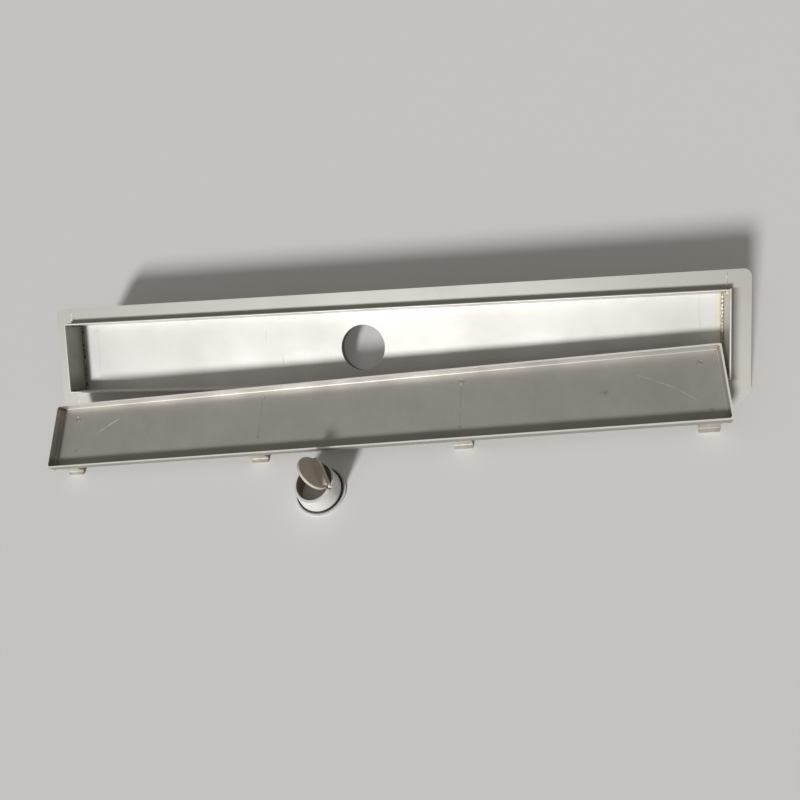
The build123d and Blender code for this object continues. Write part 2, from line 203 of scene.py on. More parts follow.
class StageSettings(bpy.types.PropertyGroup):
    """Floor, lamp, surrounding light and camera."""

    floor: a_colour("Floor", "Colour of the floor", (0.80, 0.795, 0.785))
    floor_size: FloatProperty(name="Floor size", description="Side of the floor", unit="LENGTH", default=12.0)
    window_light: a_colour("Window light", "Light of the wide soft window", (1.0, 0.985, 0.955))
    window_strength: FloatProperty(name="Window strength", description="Strength of the soft window", default=0.35)
    window_aim: FloatVectorProperty(
        name="Window aim", description="Direction of the soft window's middle", subtype="DIRECTION",
        default=(-0.25, -0.52, 0.816),
    )
    window_pane: an_angle("Window pane", "Angle from the window's middle to where it starts to fade", 10)
    window_edge: an_angle("Window edge", "Angle from the window's middle to its soft edge", 40)
    front_light: a_colour("Front light", "Light from the front", (0.22, 0.21, 0.195))
    top_light: a_colour("Top light", "Light from above", (0.20, 0.19, 0.176))
    rear_light: a_colour("Rear light", "Light from the rear", (0.20, 0.19, 0.176))
    key_aim: FloatVectorProperty(
        name="Key aim", description="Direction that the key light comes from", subtype="DIRECTION",
        default=(-0.26, -0.915, 0.572),
    )
    key_spread: an_angle("Key spread", "Angle across the key light, which softens its shadows", 10)
    key_strength: FloatProperty(name="Key strength", description="Strength of the key light", default=2.8)
    camera_place: FloatVectorProperty(
        name="Camera place", description="Place of the camera", subtype="TRANSLATION", unit="LENGTH",
        default=(0.21894, -0.28965, 0.58927),
    )
    camera_aim: FloatVectorProperty(
        name="Camera aim", description="Point on the table in the middle of the picture", subtype="TRANSLATION",
        unit="LENGTH", default=(0.04073, 0.01731, 0.0),
    )
    camera_roll: an_angle("Camera roll", "Turn of the camera about its line of sight", -27.3)
    lens: FloatProperty(name="Lens", description="Focal length", unit="CAMERA", default=30.05)
    sensor: FloatProperty(name="Sensor", description="Width of the sensor", unit="CAMERA", default=36.0)
    near_limit: a_length("Near limit", "Nearest distance that the camera sees", 10.0)


# Axes of the pieces


def named(items, name):
    """Item of a list that has a name."""
    return next(item for item in items if item["name"] == name)


def axes_from(along, across, up, origin):
    """Matrix from a piece's own axes to the row frame."""
    turn = Matrix((along, across, up)).transposed().to_4x4()
    return Matrix.Translation(origin) @ turn


def channel_axes(settings):
    """Channel's axes: x along it, y to its rear, z out of the flange's top face."""
    outlet = named(frame["record"]["mounts"], "outlet_bore")
    along = Vector((1.0, 0.0, 0.0))
    up = Vector(outlet["axis"]).normalized()
    centre = Vector(outlet["pos_m"])
    rim = max(corner.co.dot(up) for corner in frame["nodes"]["trough"].data.vertices)
    return axes_from(along, up.cross(along), up, centre + up * (rim - settings.upstand - centre.dot(up)))


def cover_axes():
    """Tray's axes: x along it from its middle, y from its front face to its rear, z up from its underside."""
    corners = np.array([corner.co for corner in frame["nodes"]["cover_tray"].data.vertices])
    directions = np.linalg.eigh(np.cov(corners.T))[1]
    along = Vector(directions[:, 2])
    along *= math.copysign(1.0, along.x)
    up = Vector(directions[:, 0])
    up *= math.copysign(1.0, up.z)
    across = up.cross(along)
    spans = [corners @ np.array(direction) for direction in (along, across, up)]
    origin = along * float(spans[0].min() + spans[0].max()) / 2
    origin += across * float(spans[1].min()) + up * float(spans[2].min())
    return axes_from(along, across, up, origin)


def hinge_axes():
    """Trap's axes: x along the hinge pin, z up from its middle."""
    hinge = named(frame["joints"], "flap_hinge")
    along = Vector(hinge["axis"]).normalized()
    up = Vector((0.0, 0.0, 1.0))
    return axes_from(along, up.cross(along), up, Vector(hinge["pos_m"]))


def extent(node, axes):
    """Lowest and highest corner of a CAD node in a piece's own axes."""
    back = axes.inverted()
    corners = np.array([back @ corner.co for corner in frame["nodes"][node].data.vertices])
    return Vector(corners.min(axis=0)), Vector(corners.max(axis=0))


def on_face(place, level):
    """Point in metres at a place in mm on a face at a level."""
    return Vector((place[0] * MM, place[1] * MM, level))


# Node trees


class Value:
    """Socket that a node gives, with arithmetic that adds Math nodes to its tree."""

    def __init__(self, tree, socket):
        self.tree = tree
        self.socket = socket

    def __add__(self, other):
        return maths("ADD", self, other)

    def __sub__(self, other):
        return maths("SUBTRACT", self, other)

    def __rsub__(self, other):
        return maths("SUBTRACT", other, self)

    def __mul__(self, other):
        return maths("MULTIPLY", self, other)

    def __truediv__(self, other):
        return maths("DIVIDE", self, other)

    def __rtruediv__(self, other):
        return maths("DIVIDE", other, self)

    def __abs__(self):
        return maths("ABSOLUTE", self)

    def __lt__(self, other):
        return maths("LESS_THAN", self, other)

    def __gt__(self, other):
        return maths("GREATER_THAN", self, other)


class Outputs:
    """Values that a node gives, by name or number."""

    def __init__(self, tree, node):
        self.tree = tree
        self.sockets = node.outputs

    def __getitem__(self, name):
        return Value(self.tree, self.sockets[name])


def feed(socket, value):
    """Links a value to an input, or sets the input to a plain number, vector or colour."""
    if isinstance(value, Value):
        value.tree.links.new(value.socket, socket)
    else:
        socket.default_value = value


def put(kind, inputs=None, tree=None, **settings):
    """Adds a node to a tree, or to the tree of its inputs, and returns what it gives."""
    inputs = inputs or {}
    tree = tree or next(value.tree for value in inputs.values() if isinstance(value, Value))
    node = tree.nodes.new(kind)
    for name, value in settings.items():
        setattr(node, name, value)
    for name, value in inputs.items():
        feed(node.inputs[name], value)
    return Outputs(tree, node)


def new_tree(kind, name, inputs, outputs):
    """Node group with sockets given by their types or default numbers; returns its inputs and its results."""
    tree = bpy.data.node_groups.new(name, kind)
    for side, sockets in (("INPUT", inputs), ("OUTPUT", outputs)):
        for socket, given in sockets.items():
            word = given if isinstance(given, str) else NUMBER_SOCKETS[type(given)]
            item = tree.interface.new_socket(socket, in_out=side, socket_type=f"NodeSocket{word}")
            if word != given:
                item.default_value = given
    return Outputs(tree, tree.nodes.new("NodeGroupInput")), tree.nodes.new("NodeGroupOutput").inputs


def maths(operation, *values):
    """Result of a Math node."""
    return put("ShaderNodeMath", dict(enumerate(values)), operation=operation)[0]


def vectors(operation, *values):
    """Vector result of a Vector Math node."""
    return put("ShaderNodeVectorMath", dict(enumerate(values)), operation=operation)["Vector"]


def measure(operation, *values):
    """Number that a Vector Math node gives."""
    return put("ShaderNodeVectorMath", dict(enumerate(values)), operation=operation)["Value"]


def scaled(vector, factor):
    """Vector times a number."""
    return put("ShaderNodeVectorMath", {"Vector": vector, "Scale": factor}, operation="SCALE")["Vector"]


def split(vector):
    """X, Y and Z of a vector."""
    parts = put("ShaderNodeSeparateXYZ", {"Vector": vector})
    return parts["X"], parts["Y"], parts["Z"]


def joined(x=0.0, y=0.0, z=0.0):
    """Vector from its X, Y and Z."""
    return put("ShaderNodeCombineXYZ", {"X": x, "Y": y, "Z": z})["Vector"]


def fade(value, start, end):
    """Smooth rise from 0 where a value is at start to 1 where it is at end."""
    inputs = {"Value": value, "From Min": start, "From Max": end}
    return put("ShaderNodeMapRange", inputs, interpolation_type="SMOOTHSTEP")["Result"]


def spread(value, low, high):
    """Numbers from low to high as a value goes from 0 to 1."""
    return put("ShaderNodeMapRange", {"Value": value, "To Min": low, "To Max": high})["Result"]


def paint(colour):
    """Colour value as it is, or a plain colour with its alpha."""
    return colour if isinstance(colour, Value) else (*colour, 1.0)


def mixed(mask, first, second, strength=1.0):
    """Colour that goes from first to second with a mask, as far as a strength."""
    inputs = {MIX_MASK: mask * strength, MIX_FIRST: paint(first), MIX_SECOND: paint(second)}
    return put("ShaderNodeMix", inputs, data_type="RGBA")[MIX_COLOUR]


def noise(vector, scale, detail=2.0, roughness=0.5, output="Fac"):
    """Even noise from 0 to 1."""
    inputs = {"Vector": vector, "Scale": scale, "Detail": detail, "Roughness": roughness}
    return put("ShaderNodeTexNoise", inputs)[output]


def use(group, vector, **values):
    """What a shader group gives at a vector, with its other inputs named with underscores for spaces."""
    inputs = {"Vector": vector}
    inputs.update((name.replace("_", " "), value) for name, value in values.items())
    return put("ShaderNodeGroup", inputs, node_tree=bpy.data.node_groups[group])


def rolled_sheet_group():
    """Fine lines along the rolling direction, and slow clouds."""
    given, result = new_tree(
        "ShaderNodeTree",
        "Rolled sheet",
        {"Vector": "Vector", "Line length": 60 * MM, "Line width": 0.8 * MM, "Cloud size": 70 * MM},
        {"Lines": "Float", "Clouds": "Float"},
    )
    line = joined(given["Line length"], given["Line width"], given["Line width"])
    drawn = vectors("DIVIDE", given["Vector"], line)
    feed(result["Lines"], noise(drawn, scale=1.0, detail=3.0, roughness=0.6))
    slow = scaled(given["Vector"], 1.0 / given["Cloud size"])
    clouds = noise(slow, scale=1.0, detail=4.0, roughness=0.55)
    feed(result["Clouds"], fade(clouds, start=0.32, end=0.68))


def line_mark_group():
    """Mask of one straight scratch or scribed line."""
    given, result = new_tree(
        "ShaderNodeTree",
        "Line mark",
        {"Vector": "Vector", "Start": "Vector", "End": "Vector", "Width": 0.5 * MM},
        {"Mask": "Float"},
    )
    wander = 0.5 * MM
    shake = noise(given["Vector"], scale=140.0, detail=1.0, output="Color")
    shift = vectors("MULTIPLY", vectors("SUBTRACT", shake, (0.5, 0.5, 0.5)), (wander, wander, 0.0))
    run = vectors("SUBTRACT", given["End"], given["Start"])
    reach = vectors("SUBTRACT", vectors("ADD", given["Vector"], shift), given["Start"])
    share = measure("DOT_PRODUCT", reach, run) / measure("DOT_PRODUCT", run, run)
    share = put("ShaderNodeClamp", {"Value": share})["Result"]
    away = measure("DISTANCE", reach, scaled(run, share))
    line = fade(away, start=given["Width"], end=given["Width"] * 0.3)
    broken = fade(noise(given["Vector"], scale=260.0), start=0.25, end=0.55)
    taper = spread(fade(abs(share - 0.5), start=0.5, end=0.3), low=0.35, high=1.0)
    feed(result["Mask"], line * broken * taper)


def heat_tint_group():
    """Colours that heat leaves on steel, from the weld outwards, and how strongly they cover it."""
    given, result = new_tree(
        "ShaderNodeTree",
        "Heat tint",
        {"Vector": "Vector", "Distance": 0.0, "Reach": 6 * MM},
        {"Colour": "Color", "Mask": "Float"},
    )
    uneven = spread(noise(given["Vector"], scale=150.0, detail=3.0, roughness=0.6), low=0.45, high=1.55)
    share = given["Distance"] / (given["Reach"] * uneven)
    ramp = given.tree.nodes.new("ShaderNodeValToRGB")
    stops = ramp.color_ramp.elements
    while len(stops) < len(HEAT_STOPS):
        stops.new(1.0)
    for stop, (place, colour) in zip(stops, HEAT_STOPS):
        stop.position = place
        stop.color = paint(colour)
    feed(ramp.inputs["Fac"], share)
    feed(result["Colour"], Outputs(given.tree, ramp)["Color"])
    feed(result["Mask"], fade(share, start=1.0, end=0.0))


def patches_group():
    """Mask of loose patches, such as smudges on steel, dust on rubber or soot on a bead."""
    given, result = new_tree(
        "ShaderNodeTree",
        "Patches",
        {"Vector": "Vector", "Size": 10 * MM, "Bareness": 0.55},
        {"Mask": "Float"},
    )
    cover = noise(scaled(given["Vector"], 1.0 / given["Size"]), scale=1.0, detail=5.0, roughness=0.62)
    feed(result["Mask"], fade(cover, start=given["Bareness"], end=given["Bareness"] + 0.18))


def moulded_skin_group():
    """Slow mottle and fine skin of moulded plastic."""
    given, result = new_tree(
        "ShaderNodeTree",
        "Moulded skin",
        {"Vector": "Vector", "Mottle size": 9 * MM},
        {"Mottle": "Float", "Skin": "Float"},
    )
    mottle = noise(scaled(given["Vector"], 1.0 / given["Mottle size"]), scale=1.0, detail=3.0)
    feed(result["Mottle"], fade(mottle, start=0.3, end=0.7))
    feed(result["Skin"], noise(given["Vector"], scale=1800.0))


def circle(radius, points):
    """Closed round curve."""
    return put("GeometryNodeCurvePrimitiveCircle", {"Resolution": points, "Radius": radius})["Curve"]


def finished(shape, material):
    """Shape with real faces, smooth shading and a material."""
    shape = put("GeometryNodeRealizeInstances", {"Geometry": shape})["Geometry"]
    shape = put("GeometryNodeSetShadeSmooth", {"Geometry": shape})["Geometry"]
    return put("GeometryNodeSetMaterial", {"Geometry": shape, "Material": material})["Geometry"]


def bead_tree():
    """Rippled weld bead along the edges of a path mesh."""
    given, result = new_tree(
        "GeometryNodeTree",
        "Weld bead",
        {"Path": "Geometry", "Radius": 1 * MM, "Ripple": 3 * MM, "Unevenness": 0.5, "Seed": 0, "Material": "Material"},
        {"Bead": "Geometry"},
    )
    steps_per_ripple, ripple_swell = 7.0, 0.16
    lumps_per_ripple, grains_per_radius, grain_lift = 0.55, 0.9, 0.9
    path = put("GeometryNodeMeshToCurve", {"Mesh": given["Path"]})["Curve"]
    inputs = {"Curve": path, "Length": given["Ripple"] / steps_per_ripple}
    path = put("GeometryNodeResampleCurve", inputs, mode="LENGTH")["Curve"]
    along = put("GeometryNodeSplineParameter", tree=given.tree)["Length"]
    wave = maths("SINE", along / given["Ripple"] * math.tau) * ripple_swell
    seat = put("GeometryNodeInputPosition", tree=given.tree)["Position"]
    seat = vectors("ADD", seat, joined(x=given["Seed"]))
    lump = noise(seat, scale=lumps_per_ripple / given["Ripple"])
    swell = wave + (lump - 0.5) * (given["Unevenness"] * 2.0) + 1.0
    inputs = {"Curve": path, "Profile Curve": circle(given["Radius"], points=12), "Scale": swell, "Fill Caps": True}
    bead = put("GeometryNodeCurveToMesh", inputs)["Mesh"]
    grain = noise(seat, scale=grains_per_radius / given["Radius"], detail=3.0, roughness=0.6)
    lift = (grain - 0.5) * (given["Radius"] * grain_lift)
    outward = put("GeometryNodeInputNormal", tree=given.tree)["Normal"]
    bead = put("GeometryNodeSetPosition", {"Geometry": bead, "Offset": scaled(outward, lift)})["Geometry"]
    feed(result["Bead"], finished(bead, given["Material"]))


def spot_tree():
    """Spot welds on the points of a mesh: a low crown in a raised ring."""
    given, result = new_tree(
        "GeometryNodeTree",
        "Spot weld",
        {
            "Points": "Geometry", "Radius": 2 * MM, "Rise": 0.2 * MM, "Turn": "Rotation", "Seed": 0,
            "Material": "Material",
        },
        {"Spots": "Geometry"},
    )
    crown_radius = given["Radius"] * 0.5
    crown = put("GeometryNodeMeshUVSphere", {"Segments": 20, "Rings": 10, "Radius": crown_radius})["Mesh"]
    flat = joined(1.0, 1.0, given["Rise"] / crown_radius)
    crown = put("GeometryNodeTransform", {"Geometry": crown, "Scale": flat})["Geometry"]
    inputs = {"Curve": circle(given["Radius"], points=28), "Profile Curve": circle(given["Rise"], points=8)}
    ring = put("GeometryNodeCurveToMesh", inputs)["Mesh"]
    mark = given.tree.nodes.new("GeometryNodeJoinGeometry")
    for shape in (crown, ring):
        feed(mark.inputs["Geometry"], shape)
    inputs = {RANDOM_LOW: 0.85, RANDOM_HIGH: 1.15, "Seed": given["Seed"]}
    size = put("FunctionNodeRandomValue", inputs, data_type="FLOAT")[RANDOM_NUMBER]
    inputs = {
        "Points": given["Points"],
        "Instance": Outputs(given.tree, mark)["Geometry"],
        "Rotation": given["Turn"],
        "Scale": size,
    }
    spots = put("GeometryNodeInstanceOnPoints", inputs)["Instances"]
    feed(result["Spots"], finished(spots, given["Material"]))


def path_mesh(name, runs, axes, closed=False):
    """Mesh of plain edges along runs of points in a piece's own axes."""
    points, edges = [], []
    for run in runs:
        first = len(points)
        points += [axes @ Vector(point) for point in run]
        edges += [(index, index + 1) for index in range(first, len(points) - 1)]
        if closed:
            edges.append((len(points) - 1, first))
    mesh = bpy.data.meshes.new(name)
    mesh.from_pydata(points, edges, [])
    return mesh


def piece_from(name, group, mesh, values):
    """Plain mesh object that a node group makes from a mesh."""
    tree = bpy.data.node_groups[group]
    piece = bpy.data.objects.new(name, mesh)
    bpy.context.scene.collection.objects.link(piece)
    modifier = piece.modifiers.new(group, "NODES")
    modifier.node_group = tree
    for item in tree.interface.items_tree:
        if item.item_type == "SOCKET" and item.in_out == "INPUT" and item.name in values:
            modifier[item.identifier] = values[item.name]
    made = bpy.data.meshes.new_from_object(piece.evaluated_get(bpy.context.evaluated_depsgraph_get()))
    if not made.polygons:
        raise RuntimeError(f"{name} came out empty")
    piece.modifiers.remove(modifier)
    piece.data = made
    made.name = name
    return piece


def bead_piece(name, runs, axes, metal, radius, ripple, unevenness, seed, closed=False):
    """Weld bead along runs of points in a piece's own axes."""
    values = {
        "Radius": radius,
        "Ripple": ripple,
        "Unevenness": unevenness,
        "Seed": seed,
        "Material": bpy.data.materials[metal],
    }
    return piece_from(name, "Weld bead", path_mesh(f"{name}_path", runs, axes, closed), values)


# Finishes


def turned(vector, axes):
    """Object coordinates turned into a piece's own axes."""
    back = axes.inverted()
    inputs = {"Vector": vector, "Location": back.to_translation(), "Rotation": back.to_euler()}
    return put("ShaderNodeMapping", inputs)["Vector"]


def new_material(name, axes=None):
    """Empty material, and its object coordinates, or those in a piece's own axes."""
    material = bpy.data.materials.new(name)
    material.use_nodes = True
    vector = put("ShaderNodeTexCoord", tree=material.node_tree)["Object"]
    return material, turned(vector, axes) if axes else vector


def relief(height, depth, strength):
    """Normal of a surface with fine height."""
    return put("ShaderNodeBump", {"Height": height, "Distance": depth, "Strength": strength})["Normal"]


def finish(material, **inputs):
    """Gives a material's shader its inputs, named with underscores for spaces."""
    shader = material.node_tree.nodes["Principled BSDF"]
    for name, value in inputs.items():
        feed(shader.inputs[name.replace("_", " ")], value)
    return material


def line_mark(vector, start, end, level, width):
    """Mask of a line between two places in mm on a face at a level."""
    return use("Line mark", vector, Start=on_face(start, level), End=on_face(end, level), Width=width)["Mask"]


def channel_steel(settings, axes, seam):
    """Satin sheet with cleaned bands and heat tint at the end welds, smudges and faint lines, and painted shade: a
    darker flange, darker bands behind the rear upstand and beside the right one, and a darkened left end wall.
    """
    material, vector = new_material("satin_channel_sheet", axes)
    x, y, z = split(vector)
    sheet = use("Rolled sheet", vector, Line_width=0.4 * MM, Cloud_size=85 * MM)
    smudges = use("Patches", vector, Size=38 * MM, Bareness=0.56)["Mask"]
    colour = mixed(sheet["Clouds"], settings.steel, settings.steel_dull)
    level = extent("trough", axes)[0].z + settings.sheet
    side = extent("end_weld_left", axes)[1].y
    from_wall = seam - abs(x)
    from_side = side - abs(y)

    # Cleaned band beside each end weld, with a faint line along its edge
    width = settings.cleaned_width
    inside = fade(z, start=-3 * MM, end=-6 * MM)
    band_place = from_wall + spread(noise(vector, scale=45.0), low=-3 * MM, high=3 * MM)
    band = fade(band_place, start=width, end=width - 2 * MM) * inside
    band_edge = fade(abs(band_place - width), start=1.6 * MM, end=0.2 * MM) * inside
    colour = mixed(band, colour, settings.cleaned, strength=0.3)
    colour = mixed(band_edge, colour, settings.band_edge, strength=0.1)

    # Straw tint at the right end weld, heat tint along both, and painted shade on the face of the left end wall
    from_sheet = maths("MINIMUM", from_side, z - level)
    from_weld = measure("LENGTH", joined(maths("MAXIMUM", from_wall, 0.0), from_sheet))
    right = x > 0.0
    straw = fade(from_weld, start=settings.straw_reach, end=1 * MM) * right
    colour = mixed(straw * spread(sheet["Clouds"], low=0.4, high=0.7), colour, settings.straw)
    heat = use("Heat tint", vector, Distance=from_weld, Reach=4 * MM)
    colour = mixed(heat["Mask"] * inside, colour, heat["Colour"], strength=0.7)
    # Painted shade on the left end wall's face under the rim
    left_wall = fade(abs(from_wall), start=0.5 * MM, end=0.3 * MM) * (x < 0.0)
    under_rim = fade(z, start=settings.upstand - 0.4 * MM, end=settings.upstand - 1.5 * MM)
    wall_shade_strength = spread(sheet["Clouds"], low=0.6, high=0.85)
    colour = mixed(left_wall * under_rim * wall_shade_strength, colour, settings.end_wall_shade)

    colour = mixed(smudges, colour, settings.steel_dull, strength=0.12)
    for start, end in TROUGH_LINES:
        line = line_mark(vector, start, end, level, width=0.6 * MM)
        colour = mixed(line, colour, settings.faint_line, strength=0.35)

    # Painted shade: the flange's top face painted darker than the trough's floor, and darker bands painted behind the
    # rear upstand and beside the right one
    outside = maths("MINIMUM", from_side, from_wall) < -1.5 * settings.sheet
    shaded_flange_face = fade(abs(z), start=1.2 * MM, end=0.2 * MM)
    colour = mixed(outside * shaded_flange_face, colour, settings.flange, strength=0.8)
    flat = maths("COMPARE", z, 0.0, 0.3 * MM)
    rim = 2 * settings.sheet
    # Painted shade behind the rear upstand, deepening its real shadow
    behind = fade(y - (side + rim), start=settings.fold_shade_width, end=settings.fold_shade_width * 0.7)
    colour = mixed(behind * flat * (y > side) * (from_wall > 0.0), colour, settings.fold_shade, strength=0.5)
    # Painted shade on the flange beside the right upstand
    beside = fade(x - (seam + rim), start=settings.end_shade_width, end=settings.end_shade_width * 0.2)
    across = fade(from_side, start=-5 * settings.sheet, end=-rim)
    end_shade = beside * flat * across * (from_wall < 0.0) * right
    colour = mixed(end_shade, colour, settings.end_shade, strength=0.9)

    rough = spread(sheet["Clouds"], low=0.53, high=0.61) + spread(sheet["Lines"], low=-0.03, high=0.03)
    rough = rough + band * 0.05 + smudges * 0.03
    normal = relief(sheet["Lines"], depth=0.02 * MM, strength=0.012)
    return finish(material, Metallic=0.85, Base_Color=colour, Roughness=rough, Normal=normal)


def shaded_tube(settings, axes):
    """Outlet's tube, painted dark as shade and a dark reflection inside it, with lines round it and a bright cut edge.
    """
    material, vector = new_material("shaded_outlet_tube", axes)
    sheet = use("Rolled sheet", vector, Line_length=9 * MM, Cloud_size=14 * MM)
    smudges = use("Patches", vector, Size=7 * MM)["Mask"]
    low = extent("outlet_spigot", axes)[0].z
    edge = fade(split(vector)[2], start=low + 0.6 * MM, end=low + 0.2 * MM)
    # Painted shade: dark tube colour, with the lower cut edge in the sheet's colour
    colour = mixed(smudges, settings.tube, settings.steel_dull, strength=0.15)
    colour = mixed(edge, colour, settings.steel)
    rough = spread(sheet["Lines"], low=0.42, high=0.50) + smudges * 0.08
    normal = relief(sheet["Lines"], depth=0.04 * MM, strength=0.15)
    return finish(material, Metallic=0.85, Base_Color=colour, Roughness=rough, Normal=normal)


def tray_steel(settings, axes):
    """Tray's duller sheet with bright cut edges, partly a painted highlight, scribed lines, scratches, scuffs, heat
    tint at its welds and painted shade along the front wall.
    """
    material, vector = new_material("satin_tray_sheet", axes)
    x, y, z = split(vector)
    sheet = use("Rolled sheet", vector, Cloud_size=55 * MM)
    smudges = use("Patches", vector, Size=24 * MM, Bareness=0.54)["Mask"]
    colour = mixed(sheet["Clouds"], settings.steel, settings.steel_dull)
    colour = mixed(smudges, colour, settings.steel_dull, strength=0.22)
    low, high = extent("cover_tray", axes)
    level = settings.sheet

    # Heat tint round the spot welds and in the corners
    nearest = None
    for spot in SPOT_REAR + SPOT_FRONT:
        away = measure("DISTANCE", vector, on_face(spot, level))
        nearest = away if nearest is None else maths("MINIMUM", nearest, away)
    halo = use("Heat tint", vector, Distance=nearest, Reach=4.5 * MM)
    colour = mixed(halo["Mask"], colour, halo["Colour"], strength=0.3)
    half = (low.y + high.y) / 2
    from_corner = measure("LENGTH", joined(high.x - abs(x), half - abs(y - half)))
    burnt = use("Heat tint", vector, Distance=from_corner, Reach=10 * MM)
    colour = mixed(burnt["Mask"], colour, burnt["Colour"], strength=0.5)

    # Scribed lines between the inner brackets' spot welds, scratches and scuffs
    for rear, front in zip(SPOT_REAR[1:3], SPOT_FRONT[1:3]):
        line = line_mark(vector, rear, front, level, width=0.6 * MM)
        colour = mixed(line, colour, settings.scribe, strength=0.3)
    scratch = line_mark(vector, *DEEP_SCRATCH, level, width=0.8 * MM)
    for start, end in zip(LONG_SCRATCH, LONG_SCRATCH[1:]):
        line = line_mark(vector, start, end, level, width=0.7 * MM)
        scratch = maths("MAXIMUM", scratch, line * 0.4)
    colour = mixed(scratch, colour, settings.edge)
    for scuff in SCUFFS:
        away = measure("DISTANCE", vector, on_face(scuff, level))
        mark = fade(away, start=5.5 * MM, end=1 * MM) * smudges
        colour = mixed(mark, colour, settings.scribe, strength=0.6)

    # Painted shade: darker band on the floor along the front wall, where its shadow falls; and the bright cut edges,
    # partly a painted highlight
    band = settings.front_shade_width
    front = fade(y, start=settings.sheet + band, end=settings.sheet + band * 0.75)
    under_edge = fade(z, start=settings.height - 0.5 * MM, end=settings.height - 2 * MM)
    colour = mixed(front * under_edge, colour, settings.fold_shade, strength=0.7)
    # Painted highlight: top edges near white and less metallic, standing in for light they catch
    top = fade(z, start=settings.height - 0.5 * MM, end=settings.height - 0.1 * MM)
    colour = mixed(top, colour, settings.edge)

    rough = spread(sheet["Clouds"], low=0.42, high=0.50) + spread(sheet["Lines"], low=-0.04, high=0.04)
    rough = rough - top * 0.14
    normal = relief(sheet["Lines"] - scratch * 2.0, depth=0.02 * MM, strength=0.03)
    metal = spread(top, low=0.75, high=0.3)
    return finish(material, Metallic=metal, Base_Color=colour, Roughness=rough, Normal=normal)


def bracket_steel(settings, axes):
    """Brackets' strip with rolling lines across the tray."""
    material, vector = new_material("bright_bracket_strip", axes @ Matrix.Rotation(math.pi / 2, 4, "Z"))
    sheet = use("Rolled sheet", vector, Line_length=30 * MM, Cloud_size=18 * MM)
    smudges = use("Patches", vector, Size=9 * MM)["Mask"]
    colour = mixed(sheet["Clouds"], settings.bracket, settings.steel)
    colour = mixed(smudges, colour, settings.steel_dull, strength=0.3)
    rough = spread(sheet["Lines"], low=0.45, high=0.55) + smudges * 0.06
    normal = relief(sheet["Lines"], depth=0.02 * MM, strength=0.1)
    return finish(material, Metallic=0.5, Base_Color=colour, Roughness=rough, Normal=normal)


def weld_metal(name, bright, tinted, bareness):
    """Weld metal: bright ripples, straw and brown tint, and soot."""
    material, vector = new_material(name)
    tint = use("Patches", vector, Size=3.2 * MM, Bareness=0.42)["Mask"]
    soot = use("Patches", vector, Size=2.1 * MM, Bareness=bareness)["Mask"]
    colour = mixed(soot, mixed(tint, bright, tinted), SOOT)
    rough = spread(tint, low=0.46, high=0.60) + soot * 0.2
    grit = noise(vector, scale=1500.0, detail=3.0, roughness=0.6)
    normal = relief(grit, depth=0.2 * MM, strength=0.35)
    return finish(material, Metallic=1.0, Base_Color=colour, Roughness=rough, Normal=normal)


def hollow_shade_mask(vector, settings, axes):
    """Mask of the painted shade inside the throat and the hinge pocket, from the hinge's axes."""
    low, high = extent("trap_seal", axes)
    middle = (low + high) / 2
    x, y, z = split(vectors("SUBTRACT", turned(vector, axes), (middle.x, middle.y, 0.0)))
    away = measure("LENGTH", joined(x, y))
    height = z + axes.to_translation().z
    throat = away < (settings.throat + 0.25 * MM) - height * settings.throat_taper
    sunk = fade(z, start=0.4 * MM, end=-0.8 * MM)
    above = z > -settings.pocket_depth - 0.3 * MM
    within = away < settings.throat + 1.6 * MM
    pocket = (y < -settings.pocket_edge) * sunk * above * within
    return maths("MAXIMUM", throat, pocket)


def moulded_plastic(name, colour, shade, gloss, hollow_shade=None):
    """Moulded plastic with a slow mottle, a fine skin, faint rub marks and, on the trap's body, painted shade in the
    throat and hinge pocket.
    """
    material, vector = new_material(name)
    skin = use("Moulded skin", vector)
    rubs = use("Patches", vector, Size=6 * MM, Bareness=0.58)["Mask"]
    base = mixed(skin["Mottle"], colour, shade, strength=0.4)
    base = mixed(rubs, base, shade, strength=0.25)
    if hollow_shade:
        settings, axes = hollow_shade
        # Painted shade in the throat and hinge pocket
        shade_unevenness = spread(skin["Mottle"], low=0.95, high=0.75)
        base = mixed(hollow_shade_mask(vector, settings, axes) * shade_unevenness, base, settings.hollow_shade)
    rough = spread(skin["Mottle"], low=gloss, high=gloss + 0.07) + rubs * 0.1
    normal = relief(skin["Skin"], depth=0.06 * MM, strength=0.15)
    return finish(material, Base_Color=base, Roughness=rough, Normal=normal)


def seal_rubber(settings):
    """Black rubber with a little dust."""
    material, vector = new_material("black_seal_rubber")
    skin = use("Moulded skin", vector, Mottle_size=4 * MM)
    dust = use("Patches", vector, Size=3 * MM, Bareness=0.57)["Mask"]
    colour = mixed(dust, settings.rubber, settings.dust, strength=0.5)
    rough = spread(skin["Mottle"], low=0.42, high=0.52) + dust * 0.25
    normal = relief(skin["Skin"], depth=0.08 * MM, strength=0.3)
    return finish(material, Base_Color=colour, Roughness=rough, Normal=normal)


def pin_steel(settings, axes):
    """Drawn rod with lines along it, its colour lifted near white as painted light against the flap's shadow."""
    material, vector = new_material("drawn_pin_rod", axes)
    sheet = use("Rolled sheet", vector, Line_length=14 * MM, Line_width=0.25 * MM, Cloud_size=6 * MM)
    colour = mixed(sheet["Clouds"], settings.pin, settings.pin_dull, strength=0.4)
    rough = spread(sheet["Lines"], low=0.40, high=0.52)
    normal = relief(sheet["Lines"], depth=0.02 * MM, strength=0.1)
    return finish(material, Metallic=0.15, Base_Color=colour, Roughness=rough, Normal=normal)


def floor_finish(settings):
    """Plain pale floor with a faint unevenness."""
    material, vector = new_material("pale_floor")
    rough = spread(noise(vector, scale=3.0), low=0.62, high=0.72)
    return finish(material, Base_Color=paint(settings.floor), Specular_IOR_Level=0.05, Roughness=rough)


def dress(material, *nodes):
    """Gives CAD nodes a finish."""
    for node in nodes:
        for slot in frame["nodes"][node].material_slots:
            slot.material = material


# Operators


